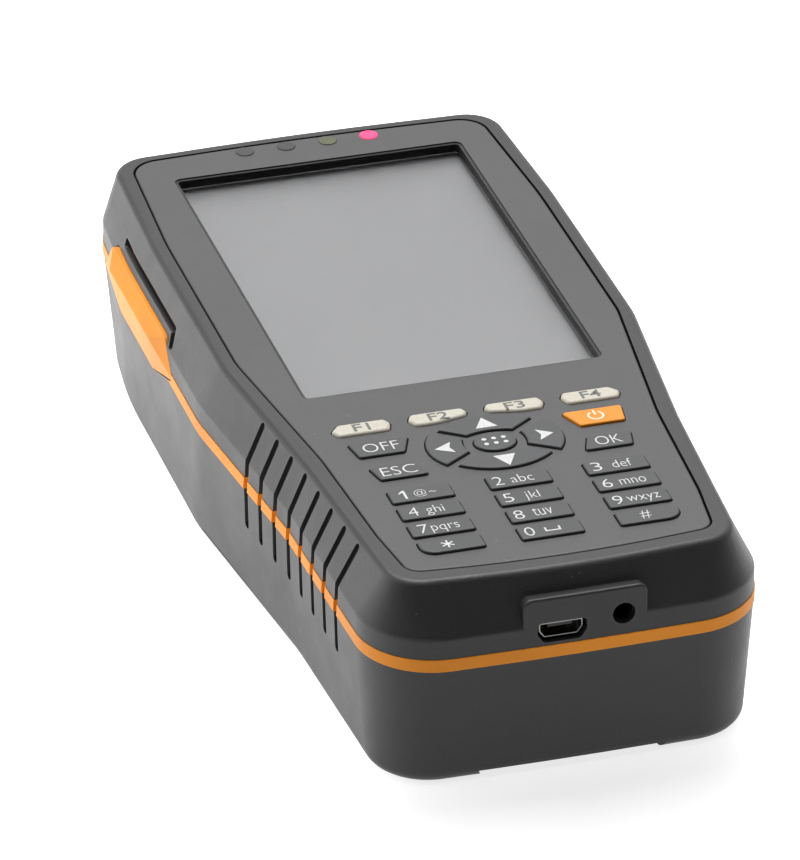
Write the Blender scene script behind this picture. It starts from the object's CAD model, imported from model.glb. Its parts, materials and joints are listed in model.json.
"""Looks of the handheld survey data collector: materials, key legends, studio and camera.

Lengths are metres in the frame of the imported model: +Z out of the keypad face, +Y to the display end.
"""
import json
import math

import bmesh
import bpy
from mathutils import Matrix, Vector


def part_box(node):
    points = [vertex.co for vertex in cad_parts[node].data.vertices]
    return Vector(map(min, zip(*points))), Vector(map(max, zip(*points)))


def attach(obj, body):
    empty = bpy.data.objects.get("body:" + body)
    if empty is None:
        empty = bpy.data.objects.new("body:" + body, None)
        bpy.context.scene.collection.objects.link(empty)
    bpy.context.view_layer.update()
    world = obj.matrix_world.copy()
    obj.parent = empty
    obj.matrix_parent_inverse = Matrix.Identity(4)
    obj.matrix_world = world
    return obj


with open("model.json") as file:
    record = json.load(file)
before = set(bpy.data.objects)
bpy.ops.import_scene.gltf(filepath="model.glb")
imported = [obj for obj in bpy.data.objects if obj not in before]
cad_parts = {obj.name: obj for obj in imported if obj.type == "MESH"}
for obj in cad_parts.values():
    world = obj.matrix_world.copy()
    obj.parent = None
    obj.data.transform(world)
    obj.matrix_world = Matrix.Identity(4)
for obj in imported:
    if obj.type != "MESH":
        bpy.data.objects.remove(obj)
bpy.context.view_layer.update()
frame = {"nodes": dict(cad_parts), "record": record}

MM = 0.001
WHITE = (1, 1, 1, 1)


# ---- material building blocks -------------------------------------------
FLAT_DOT = 0.995           # rounded normal times real normal where a surface still counts as flat
EDGE_DOT = 0.85            # the same where it counts as a full edge
EDGE_REACH = 0.5 * MM      # how far the wear of an edge spreads over hard plastic
SOFT_EDGE_REACH = 0.4 * MM
METAL_EDGE_REACH = 0.15 * MM
DUST = (0.55, 0.54, 0.52, 1)


def set_range(node, low, high, to_low, to_high):
    """Set the four limits of a Map Range node."""
    limits = {"From Min": low, "From Max": high, "To Min": to_low, "To Max": to_high}
    for socket, number in limits.items():
        node.inputs[socket].default_value = number


class Recipe:
    """A principled material and the node helpers that its recipe needs."""

    def __init__(self, name, **constants):
        self.material = bpy.data.materials.new(name)
        self.material.use_nodes = True
        self.tree = self.material.node_tree
        self.shader = self.tree.nodes["Principled BSDF"]
        self.place = self.node("ShaderNodeTexCoord").outputs["Object"]
        for socket, value in constants.items():
            self.shader.inputs[socket.replace("_", " ")].default_value = value

    def node(self, kind, **settings):
        made = self.tree.nodes.new(kind)
        for setting, value in settings.items():
            setattr(made, setting, value)
        return made

    def put(self, socket, value):
        """Link a node's output to a socket, or set the socket to a number."""
        if isinstance(value, bpy.types.NodeSocket):
            self.tree.links.new(value, socket)
        else:
            socket.default_value = value

    def stretched(self, x, y, z):
        """Object coordinates with each axis scaled."""
        mapping = self.node("ShaderNodeMapping")
        self.put(mapping.inputs["Vector"], self.place)
        mapping.inputs["Scale"].default_value = (x, y, z)
        return mapping.outputs["Vector"]

    def noise(self, scale, detail=2.0, rough=0.5, place=None):
        made = self.node("ShaderNodeTexNoise")
        self.put(made.inputs["Vector"], place or self.place)
        made.inputs["Scale"].default_value = scale
        made.inputs["Detail"].default_value = detail
        made.inputs["Roughness"].default_value = rough
        return made.outputs["Fac"]

    def cells(self, scale, feature="F1", place=None):
        made = self.node("ShaderNodeTexVoronoi", feature=feature)
        self.put(made.inputs["Vector"], place or self.place)
        made.inputs["Scale"].default_value = scale
        return made

    def span(self, value, low, high, to_low, to_high):
        """Move a value from one range to another, smoothly and clamped."""
        made = self.node("ShaderNodeMapRange", interpolation_type="SMOOTHSTEP")
        self.put(made.inputs["Value"], value)
        set_range(made, low, high, to_low, to_high)
        return made.outputs["Result"]

    def sums(self, operation, first, second):
        made = self.node("ShaderNodeMath", operation=operation)
        self.put(made.inputs[0], first)
        self.put(made.inputs[1], second)
        return made.outputs[0]

    def blend(self, share, first, second):
        made = self.node("ShaderNodeMix", data_type="RGBA")
        self.put(made.inputs["Factor"], share)
        self.put(made.inputs["A"], first)
        self.put(made.inputs["B"], second)
        return made.outputs["Result"]

    def edges(self, radius):
        """Share that rises from 0 on flat stretches to 1 on sharp edges, outer and inner ones alike."""
        bevel = self.node("ShaderNodeBevel", samples=4)
        bevel.inputs["Radius"].default_value = radius
        geometry = self.node("ShaderNodeNewGeometry")
        dot = self.node("ShaderNodeVectorMath", operation="DOT_PRODUCT")
        self.put(dot.inputs[0], bevel.outputs["Normal"])
        self.put(dot.inputs[1], geometry.outputs["Normal"])
        return self.span(dot.outputs["Value"], FLAT_DOT, EDGE_DOT, 0.0, 1.0)

    def bump(self, height, distance, under=None):
        made = self.node("ShaderNodeBump")
        self.put(made.inputs["Height"], height)
        made.inputs["Distance"].default_value = distance
        if under:
            self.put(made.inputs["Normal"], under)
        return made.outputs["Normal"]

    def finish(self, colour, roughness, normal=None):
        self.put(self.shader.inputs["Base Color"], colour)
        self.put(self.shader.inputs["Roughness"], roughness)
        if normal:
            self.put(self.shader.inputs["Normal"], normal)
        return self.material


def tinted(colour, factor):
    return tuple(min(1.0, c * factor) for c in colour[:3]) + (1.0,)


def moulded(name, colour, rough, grain=0.02, grain_size=2600, edge=1.5, dust=0.0, **constants):
    """Moulded plastic: spark-eroded grain, handled patches, polished edges and a little dust."""
    r = Recipe(name, **constants)
    patches = r.noise(28, 3, 0.55)
    handled = r.noise(140, 4, 0.6)
    fine = r.noise(grain_size, 2, 0.6)
    pits = r.cells(grain_size * 0.7).outputs["Distance"]
    shade = r.blend(r.span(patches, 0.35, 0.65, 0, 1), tinted(colour, 0.95), tinted(colour, 1.05))
    shade = r.blend(r.span(fine, 0.3, 0.7, 0, 0.5), shade, tinted(colour, 1.25))
    worn = r.sums("MULTIPLY", r.edges(EDGE_REACH), r.span(handled, 0.38, 0.62, 0.15, 0.8))
    shade = r.blend(worn, shade, tinted(colour, edge))
    if dust:
        speck = r.cells(520)
        near = r.span(speck.outputs["Distance"], 0.02, 0.09, 1, 0)
        chosen = r.span(r.noise(90, 1, 0.5), 0.62, 0.66, 0, dust)
        shade = r.blend(r.sums("MULTIPLY", near, chosen), shade, DUST)
    gloss = r.span(handled, 0.25, 0.75, rough - 0.03, rough + 0.03)
    gloss = r.sums("SUBTRACT", gloss, r.sums("MULTIPLY", worn, 0.12))
    height = r.sums("ADD", fine, r.sums("MULTIPLY", pits, 0.6))
    return r.finish(shade, gloss, r.bump(height, grain * MM))


def rubber(name, colour, rough, **constants):
    """Soft overmould: powdery surface with pale rubbed patches and fine pores."""
    r = Recipe(name, **constants)
    patches = r.noise(45, 3, 0.6)
    pores = r.cells(3800).outputs["Distance"]
    fine = r.noise(1500, 3, 0.6)
    shade = r.blend(r.span(patches, 0.35, 0.65, 0, 1), tinted(colour, 0.9), tinted(colour, 1.06))
    rubbed = r.sums("MULTIPLY", r.edges(SOFT_EDGE_REACH), r.span(fine, 0.4, 0.6, 0.1, 0.6))
    shade = r.blend(rubbed, shade, tinted(colour, 1.25))
    soil = r.span(r.noise(210, 4, 0.65), 0.55, 0.8, 0, 0.25)
    shade = r.blend(soil, shade, tinted(colour, 0.7))
    gloss = r.span(fine, 0.3, 0.7, rough - 0.06, rough + 0.06)
    height = r.sums("ADD", fine, r.sums("MULTIPLY", pores, 0.8))
    return r.finish(shade, gloss, r.bump(height, 0.014 * MM))


def metal(name, colour, rough, grain_axis=(40, 2400, 2400), **constants):
    """Rolled or plated metal: drawn grain, cloudy tarnish and polished edges."""
    r = Recipe(name, Metallic=1.0, **constants)
    drawn = r.noise(1, 3, 0.6, r.stretched(*grain_axis))
    clouds = r.noise(160, 3, 0.6)
    shade = r.blend(r.span(clouds, 0.35, 0.7, 0, 1), tinted(colour, 0.86), tinted(colour, 1.05))
    shade = r.blend(r.edges(METAL_EDGE_REACH), shade, tinted(colour, 1.2))
    gloss = r.span(drawn, 0.3, 0.7, rough - 0.07, rough + 0.09)
    return r.finish(shade, gloss, r.bump(drawn, 0.006 * MM))


CELLS_PER_METRE = 1300


def display_surface():
    """Unlit reflective display: pale grey layer with faint mottling and a fine cell grid."""
    r = Recipe("lcd", Coat_Weight=0.4, Coat_Roughness=0.2)
    colour = (0.142, 0.142, 0.148)
    columns = r.node("ShaderNodeTexWave", bands_direction="X")
    rows = r.node("ShaderNodeTexWave", bands_direction="Y")
    for wave in (columns, rows):
        wave.inputs["Scale"].default_value = CELLS_PER_METRE
        r.put(wave.inputs["Vector"], r.place)
    grid = r.sums("MULTIPLY", columns.outputs["Fac"], rows.outputs["Fac"])
    mottling = r.span(r.noise(18, 2, 0.5), 0.3, 0.7, 0, 1)
    shade = r.blend(mottling, tinted(colour, 0.97), tinted(colour, 1.03))
    shade = r.blend(r.sums("MULTIPLY", grid, 0.12), shade, tinted(colour, 0.8))
    gloss = r.span(r.noise(300, 3, 0.6), 0.3, 0.7, 0.28, 0.34)
    return r.finish(shade, gloss, r.bump(grid, 0.002 * MM))


def touch_glass():
    """Anti-glare cover glass: etched sparkle and a few wiped smears."""
    r = Recipe("screen_glass", Transmission_Weight=1.0, IOR=1.5)
    smears = r.noise(1, 2, 0.5, r.stretched(60, 22, 60))
    etched = r.noise(5200, 2, 0.6)
    shade = r.blend(r.span(smears, 0.2, 0.8, 0, 0.4), (0.93, 0.93, 0.94, 1), (0.98, 0.98, 0.98, 1))
    gloss = r.span(smears, 0.2, 0.8, 0.24, 0.27)
    return r.finish(shade, gloss, r.bump(etched, 0.001 * MM))


def lamp(name, colour, glow=0.0):
    """Moulded light pipe: frosted, brighter in the middle when lit."""
    r = Recipe(name, Specular_IOR_Level=0.35)
    frost = r.noise(900, 3, 0.6)
    shade = r.blend(r.span(frost, 0.3, 0.7, 0, 1), tinted(colour, 0.85), tinted(colour, 1.1))
    gloss = r.span(frost, 0.3, 0.7, 0.4, 0.5)
    if glow:
        r.put(r.shader.inputs["Emission Color"], shade)
        r.shader.inputs["Emission Strength"].default_value = glow
    return r.finish(shade, gloss, r.bump(frost, 0.004 * MM))


def circuit_board():
    """Solder mask over copper: routed tracks show as paler green ridges."""
    r = Recipe("board_green", Coat_Weight=0.5, Coat_Roughness=0.12)
    tracks = r.cells(320, "F2")
    tracks.distance = "MANHATTAN"
    lines = r.span(tracks.outputs["Distance"], 0.62, 0.68, 0, 1)
    cloud = r.noise(60, 3, 0.5)
    shade = r.blend(r.span(cloud, 0.3, 0.7, 0, 1), (0.012, 0.12, 0.045, 1), (0.018, 0.16, 0.06, 1))
    shade = r.blend(lines, shade, (0.04, 0.26, 0.1, 1))
    return r.finish(shade, r.span(cloud, 0.3, 0.7, 0.32, 0.42), r.bump(lines, 0.02 * MM))


CHARCOAL = (0.021, 0.021, 0.0215)
ORANGE = (0.73, 0.25, 0.014)


def make_materials():
    """One material for each slot of the record."""
    return {
        "shell_plastic": moulded("shell_plastic", CHARCOAL, 0.44, dust=0.2, edge=2.4,
                                 Specular_IOR_Level=0.4),
        "panel_plastic": moulded("panel_plastic", (0.041, 0.041, 0.042), 0.45, 0.012, 3200, dust=0.25),
        "orange_rubber": rubber("orange_rubber", ORANGE, 0.5, Specular_IOR_Level=0.22),
        "key_dark": moulded("key_dark", (0.035, 0.036, 0.038), 0.5, 0.008, 3600, edge=2.2),
        "key_cream": moulded("key_cream", (0.45, 0.425, 0.355), 0.45, 0.006, 2200, edge=1.08,
                             Subsurface_Weight=0.15, Subsurface_Scale=0.6 * MM),
        "key_orange": moulded("key_orange", (0.66, 0.225, 0.010), 0.45, 0.006, 2200, edge=1.12,
                              Specular_IOR_Level=0.3),
        "black_rubber": rubber("black_rubber", (0.006, 0.006, 0.0065), 0.6),
        "screen_glass": touch_glass(),
        "lcd": display_surface(),
        "tray_metal": metal("tray_metal", (0.30, 0.30, 0.29), 0.34),
        "flex_amber": moulded("flex_amber", (0.50, 0.20, 0.03), 0.3, 0.004, 900, edge=1.2,
                              Coat_Weight=0.5),
        "connector_plastic": moulded("connector_plastic", (0.012, 0.012, 0.012), 0.45, 0.01, 3000),
        "lamp_red": lamp("lamp_red", (1.0, 0.035, 0.14), 0.8),
        "lamp_green": lamp("lamp_green", (0.085, 0.092, 0.045)),
        "lamp_clear": lamp("lamp_clear", (0.040, 0.040, 0.041)),
        "led_white": lamp("led_white", (0.85, 0.84, 0.78)),
        "silicone": rubber("silicone", (0.16, 0.16, 0.165), 0.55),
        "dome_steel": metal("dome_steel", (0.66, 0.65, 0.62), 0.28, (900, 900, 900)),
        "board_green": circuit_board(),
        "cell_steel": metal("cell_steel", (0.66, 0.66, 0.64), 0.25),
        "gold": metal("gold", (0.83, 0.58, 0.22), 0.25, (1200, 300, 1200)),
        "pack_wrap": moulded("pack_wrap", (0.02, 0.035, 0.09), 0.25, 0.006, 500, edge=1.4,
                             Coat_Weight=0.6),
        "screw_steel": metal("screw_steel", (0.52, 0.52, 0.5), 0.34, (1500, 1500, 200)),
    }


def dress_cad_nodes(materials):
    """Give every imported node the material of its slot."""
    slot_of = {part["node"]: part["material_slot"] for part in frame["record"]["subparts"]}
    for name, piece in frame["nodes"].items():
        piece.data.materials.clear()
        piece.data.materials.append(materials[slot_of[name]])


# ---- legends ------------------------------------------------------------
INK_THICK = 0.03 * MM      # above the key's face
INK_SUNK = 0.01 * MM       # below it
DIGIT_SIZE = (1.65 * MM, 2.75 * MM)
CAPITAL_HIGH = 2.8 * MM
F_HIGH = 2.4 * MM
SMALL_HIGH = 1.75 * MM     # letters without tails or stems
TAIL = 0.7 * MM            # what a tail or a stem adds
STEMMED, TAILED = "bdfhklt", "gjpqy"
LETTER_WIDE = 1.28 * MM    # a plain small letter
LETTER_SHARES = {"i": 0.4, "j": 0.45, "l": 0.45, "f": 0.6, "t": 0.6, "r": 0.7, "w": 1.4, "m": 1.5}
THIN_STROKE = -0.012       # outline offsets, in the letters' own units
THICK_STROKE = 0.012


def legend_ink(name, colour):
    """Pad-printed ink: slightly uneven cover with a soft satin surface."""
    r = Recipe(name)
    cover = r.noise(1900, 3, 0.65)
    shade = r.blend(r.span(cover, 0.3, 0.7, 0, 1), tinted(colour, 0.86), tinted(colour, 1.05))
    return r.finish(shade, r.span(cover, 0.3, 0.7, 0.42, 0.56), r.bump(cover, 0.006 * MM))


def slab(mesh, corners):
    """Add one flat closed plate over a list of (x, y) corners, INK_THICK high."""
    ring = [mesh.verts.new((x, y, 0.0)) for x, y in corners]
    base = mesh.faces.new(ring)
    grown = bmesh.ops.extrude_face_region(mesh, geom=[base])
    top = [v for v in grown["geom"] if isinstance(v, bmesh.types.BMVert)]
    bmesh.ops.translate(mesh, verts=top, vec=(0, 0, INK_THICK + INK_SUNK))


def words(mesh, text, centre, width, height, weight=THIN_STROKE):
    """Add text fitted into a width and height about a centre; weight swells or thins its strokes."""
    curve = bpy.data.curves.new("words", "FONT")
    curve.body = text
    curve.offset = weight
    curve.extrude = 0.5
    curve.resolution_u = 4
    carrier = bpy.data.objects.new("words", curve)
    bpy.context.scene.collection.objects.link(carrier)
    bpy.context.view_layer.update()
    flat = bpy.data.meshes.new_from_object(carrier.evaluated_get(bpy.context.evaluated_depsgraph_get()))
    xs = [v.co.x for v in flat.vertices]
    ys = [v.co.y for v in flat.vertices]
    scale_x = width / (max(xs) - min(xs))
    scale_y = height / (max(ys) - min(ys))
    middle = Vector(((max(xs) + min(xs)) / 2, (max(ys) + min(ys)) / 2, -0.5))
    flat.transform(Matrix.Translation((centre[0], centre[1], 0))
                   @ Matrix.Diagonal((scale_x, scale_y, INK_THICK + INK_SUNK, 1))
                   @ Matrix.Translation(-middle))
    mesh.from_mesh(flat)
    bpy.data.objects.remove(carrier)
    bpy.data.curves.remove(curve)
    bpy.data.meshes.remove(flat)


def figure_one(mesh, x, y):
    """The digit 1: an upright stem with a sloping flag."""
    high = DIGIT_SIZE[1] / 2
    stem, flag, drop = 0.2 * MM, 0.95 * MM, 0.75 * MM
    slab(mesh, [(x - stem, y - high), (x + stem, y - high), (x + stem, y + high), (x - stem, y + high),
                (x - flag, y + high - drop), (x - flag, y + high - drop - stem * 1.7),
                (x - stem, y + high - drop * 0.72)])


def asterisk(mesh, x, y):
    """Six-armed star; each arm is a bar with square ends."""
    reach, half = 1.15 * MM, 0.15 * MM
    corners = []
    for arm in range(6):
        turn = math.radians(90 + 60 * arm)
        along = Vector((math.cos(turn), math.sin(turn)))
        across = Vector((-along.y, along.x)) * half
        root = along * half * math.sqrt(3)
        corners += [root - across, along * reach - across, along * reach + across]
    slab(mesh, [(x + corner.x, y + corner.y) for corner in corners])


def disc(mesh, centre, radius, steps=20):
    turn = 2 * math.pi / steps
    slab(mesh, [(centre[0] + radius * math.cos(i * turn), centre[1] + radius * math.sin(i * turn))
                for i in range(steps)])


def legend(key, mesh, ink):
    """Turn drawn plates into one printed piece on top of a key."""
    bmesh.ops.remove_doubles(mesh, verts=mesh.verts, dist=1e-7)
    bmesh.ops.recalc_face_normals(mesh, faces=mesh.faces)
    bmesh.ops.translate(mesh, verts=mesh.verts, vec=(0, 0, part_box(key)[1].z - INK_SUNK))
    data = bpy.data.meshes.new("legend_" + key)
    mesh.to_mesh(data)
    mesh.free()
    piece = bpy.data.objects.new("legend_" + key, data)
    bpy.context.scene.collection.objects.link(piece)
    data.materials.append(ink)
    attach(piece, key + "_body")


def middle_of(key):
    low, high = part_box(key)
    return (low.x + high.x) / 2, (low.y + high.y) / 2


def small_letters(mesh, text, x, y):
    """Lower-case letters at the right of a digit, with room for their stems and tails."""
    up = TAIL if any(c in STEMMED for c in text) else 0
    down = TAIL if any(c in TAILED for c in text) else 0
    wide = sum(LETTER_SHARES.get(c, 1.0) for c in text) * LETTER_WIDE
    words(mesh, text, (x, y + (up - down) / 2), wide, SMALL_HIGH + up + down)


def number_legends(ink):
    """Digits at the left of the number keys with small letters beside them."""
    letters = {"2": "abc", "3": "def", "4": "ghi", "5": "jkl",
               "6": "mno", "7": "pqrs", "8": "tuv", "9": "wxyz"}
    columns = {"1": 0, "4": 0, "7": 0, "2": 1, "5": 1, "8": 1, "0": 1, "3": 2, "6": 2, "9": 2}
    digit_x = (-20.0 * MM, -3.6 * MM, 13.5 * MM)
    letter_x = (-16.3 * MM, 0.5 * MM, 17.9 * MM)
    for digit, column in columns.items():
        key = "key_" + digit
        y = middle_of(key)[1]
        mesh = bmesh.new()
        if digit != "1":
            words(mesh, digit, (digit_x[column], y), *DIGIT_SIZE)
        if digit in letters:
            small_letters(mesh, letters[digit], letter_x[column], y - 0.3 * MM)
        elif digit == "1":
            figure_one(mesh, digit_x[column] + 0.3 * MM, y)
            words(mesh, "@", (letter_x[0] - 0.8 * MM, y - 0.1 * MM), 2.1 * MM, 2.3 * MM)
            words(mesh, "~", (letter_x[0] + 1.3 * MM, y - 0.1 * MM), 1.2 * MM, 0.45 * MM)
        else:
            space_bar(mesh, 0.35 * MM, y - 0.4 * MM)
        legend(key, mesh, ink)
    mesh = bmesh.new()
    asterisk(mesh, -17.6 * MM, middle_of("key_star")[1])
    legend("key_star", mesh, ink)
    mesh = bmesh.new()
    words(mesh, "#", (16.4 * MM, middle_of("key_hash")[1]), 1.8 * MM, 2.6 * MM)
    legend("key_hash", mesh, ink)


def space_bar(mesh, x, y):
    """Square bracket lying on its back."""
    half, rise, line = 1.35 * MM, 1.3 * MM, 0.32 * MM
    slab(mesh, [(x - half, y + rise - line), (x - half, y - line),
                (x + half, y - line), (x + half, y + rise - line),
                (x + half - line, y + rise - line), (x + half - line, y),
                (x - half + line, y), (x - half + line, y + rise - line)])


def word_legends(white, grey):
    """OFF, ESC and OK in capitals, and F1 to F4 on the cream keys."""
    capitals = {"key_off": ("OFF", -18.9, 6.2),
                "key_esc": ("ESC", -18.3, 6.1),
                "key_ok": ("OK", 18.25, 4.5)}
    for key, (text, x, wide) in capitals.items():
        mesh = bmesh.new()
        words(mesh, text, (x * MM, middle_of(key)[1]), wide * MM, CAPITAL_HIGH)
        legend(key, mesh, white)
    for number in "1234":
        key = "key_f" + number
        mesh = bmesh.new()
        wide = (2.9 if number == "1" else 3.5) * MM
        words(mesh, "F" + number, middle_of(key), wide, F_HIGH, THICK_STROKE)
        legend(key, mesh, grey)


def arrow_legends(ink):
    """Arrowheads (corners in millimetres) on the direction keys and six dots on the centre key."""
    arrows = {"key_up": [(0, -29.55), (-1.9, -32.95), (1.9, -32.95)],
              "key_down": [(0, -46.3), (1.9, -42.65), (-1.9, -42.65)],
              "key_left": [(-10.6, -37.8), (-7.4, -39.6), (-8.0, -37.8), (-7.4, -36.0)],
              "key_right": [(10.2, -37.8), (7.4, -36.0), (8.0, -37.8), (7.4, -39.6)]}
    for key, corners in arrows.items():
        mesh = bmesh.new()
        slab(mesh, [(x * MM, y * MM) for x, y in corners])
        legend(key, mesh, ink)
    x, y = middle_of("key_centre")
    apart_x, apart_y, radius = 1.7 * MM, 0.8 * MM, 0.42 * MM
    mesh = bmesh.new()
    for column in (-1, 0, 1):
        for row in (-1, 1):
            disc(mesh, (x + column * apart_x, y + row * apart_y), radius)
    legend("key_centre", mesh, ink)


def power_legend(ink):
    """Open ring with an upright bar through its gap."""
    x, y = middle_of("key_power")
    outer, inner = 1.45 * MM, 1.1 * MM
    opening = math.radians(32)
    steps = 28
    turns = [math.pi / 2 + opening + i * (2 * math.pi - 2 * opening) / steps for i in range(steps + 1)]
    ring = [(x + outer * math.cos(t), y + outer * math.sin(t)) for t in turns]
    ring += [(x + inner * math.cos(t), y + inner * math.sin(t)) for t in reversed(turns)]
    mesh = bmesh.new()
    slab(mesh, ring)
    half, low, high = 0.18 * MM, 0.2 * MM, 1.75 * MM
    slab(mesh, [(x - half, y + low), (x + half, y + low), (x + half, y + high), (x - half, y + high)])
    legend("key_power", mesh, ink)


# ---- studio -------------------------------------------------------------
FLOOR_HALF = 3.0
FLOOR_DROP = 0.02 * MM             # of the floor under the feet
FRONT_EDGE = (-0.105, -0.055)      # stretch along Y over which the table's light comes up
FRONT_LIGHT = (0.5, 1.05)
BACK_EDGE = (-0.06, 0.12)          # stretch along Y over which the far end adds more light
BACK_LIGHT = (0.0, 0.6)


def make_floor():
    """Wide pale light table, just under the plane that the case rests on."""
    corners = [(-1, -1), (1, -1), (1, 1), (-1, 1)]
    mesh = bmesh.new()
    mesh.faces.new([mesh.verts.new((x * FLOOR_HALF, y * FLOOR_HALF, 0)) for x, y in corners])
    data = bpy.data.meshes.new("studio_floor")
    mesh.to_mesh(data)
    mesh.free()
    floor = bpy.data.objects.new("studio_floor", data)
    floor.location.z = -FLOOR_DROP
    bpy.context.scene.collection.objects.link(floor)
    r = Recipe("studio_floor")
    paper = r.noise(220, 4, 0.6)
    shade = r.blend(r.span(paper, 0.3, 0.7, 0, 1), (0.48, 0.48, 0.48, 1), (0.5, 0.5, 0.5, 1))
    along = r.node("ShaderNodeSeparateXYZ")
    r.put(along.inputs[0], r.place)
    r.shader.inputs["Emission Color"].default_value = WHITE
    near = r.span(along.outputs["Y"], *FRONT_EDGE, *FRONT_LIGHT)
    far = r.span(along.outputs["Y"], *BACK_EDGE, *BACK_LIGHT)
    r.put(r.shader.inputs["Emission Strength"], r.sums("ADD", near, far))
    data.materials.append(r.finish(shade, r.span(paper, 0.3, 0.7, 0.7, 0.8), r.bump(paper, 0.01 * MM)))


CASE_MIDDLE = (0, 0, 0.02)
# name, place, size, power
SOFTBOXES = [("softbox_top", (0.1, 0.55, 1.25), (0.9, 0.8), 16),
             ("softbox_left", (-1.15, 0.6, 0.5), (0.9, 0.7), 3.3)]
TENT_AXIS = (0, 0.8, 0.6)          # towards the bright side of the tent: up and beyond the display end
TENT_EDGE = (-0.2, 0.6)            # share of that axis over which the tent turns bright
TENT_LIGHT = (0.03, 1.15)


def softbox(name, place, size, power):
    """Rectangular area light that faces the middle of the case."""
    light = bpy.data.lights.new(name, "AREA")
    light.shape = "RECTANGLE"
    light.size, light.size_y = size
    light.energy = power
    carrier = bpy.data.objects.new(name, light)
    carrier.location = place
    carrier.rotation_mode = "QUATERNION"
    carrier.rotation_quaternion = (Vector(CASE_MIDDLE) - Vector(place)).to_track_quat("-Z", "Y")
    bpy.context.scene.collection.objects.link(carrier)


def make_lights():
    """White tent, open on the viewer's side, with a broad top softbox and a weaker one on the left."""
    world = bpy.data.worlds.new("studio")
    world.use_nodes = True
    tree = world.node_tree
    way = tree.nodes.new("ShaderNodeTexCoord")
    lean = tree.nodes.new("ShaderNodeVectorMath")
    lean.operation = "DOT_PRODUCT"
    lean.inputs[1].default_value = TENT_AXIS
    shade = tree.nodes.new("ShaderNodeMapRange")
    shade.interpolation_type = "SMOOTHSTEP"
    set_range(shade, *TENT_EDGE, *TENT_LIGHT)
    tree.links.new(way.outputs["Generated"], lean.inputs[0])
    tree.links.new(lean.outputs["Value"], shade.inputs["Value"])
    tree.links.new(shade.outputs["Result"], tree.nodes["Background"].inputs["Strength"])
    tree.nodes["Background"].inputs["Color"].default_value = WHITE
    bpy.context.scene.world = world
    for light in SOFTBOXES:
        softbox(*light)
    bpy.context.scene.view_settings.view_transform = "Standard"


CAMERA_AZIMUTH = -16.67            # degrees
CAMERA_ELEVATION = 29.327
CAMERA_ROLL = 0.069
CAMERA_LENS = 339.2
CAMERA_DISTANCE = 1373.8 * MM
CAMERA_NEAR = 0.05
AIM_Y = -13.8 * MM                 # the aim point, on the face between display and keys
AIM_OFFSET = 9.053 * MM            # of the aim point from the view axis, both right and up


def make_camera():
    """Long-lens camera in front of the keypad end, a little to its left."""
    turn, rise = math.radians(CAMERA_AZIMUTH), math.radians(CAMERA_ELEVATION)
    back = Vector((math.sin(turn) * math.cos(rise), -math.cos(turn) * math.cos(rise), math.sin(rise)))
    right = (-back).cross(Vector((0, 0, 1))).normalized()
    up = back.cross(right)
    roll = Matrix.Rotation(math.radians(CAMERA_ROLL), 3, back)
    right, up = roll @ right, roll @ up
    aim = Vector((0, AIM_Y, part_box("face_panel")[1].z))
    data = bpy.data.cameras.new("camera")
    data.lens = CAMERA_LENS
    data.clip_start = CAMERA_NEAR
    camera = bpy.data.objects.new("camera", data)
    camera.rotation_mode = "QUATERNION"
    camera.rotation_quaternion = Matrix((right, up, back)).transposed().to_quaternion()
    camera.location = aim + back * CAMERA_DISTANCE - (right + up) * AIM_OFFSET
    bpy.context.scene.collection.objects.link(camera)
    bpy.context.scene.camera = camera


dress_cad_nodes(make_materials())
white_ink = legend_ink("legend_white", (0.56, 0.56, 0.555))
grey_ink = legend_ink("legend_grey", (0.11, 0.107, 0.1))
number_legends(white_ink)
word_legends(white_ink, grey_ink)
arrow_legends(white_ink)
power_legend(legend_ink("legend_power", (0.78, 0.66, 0.52)))
make_floor()
make_lights()
make_camera()
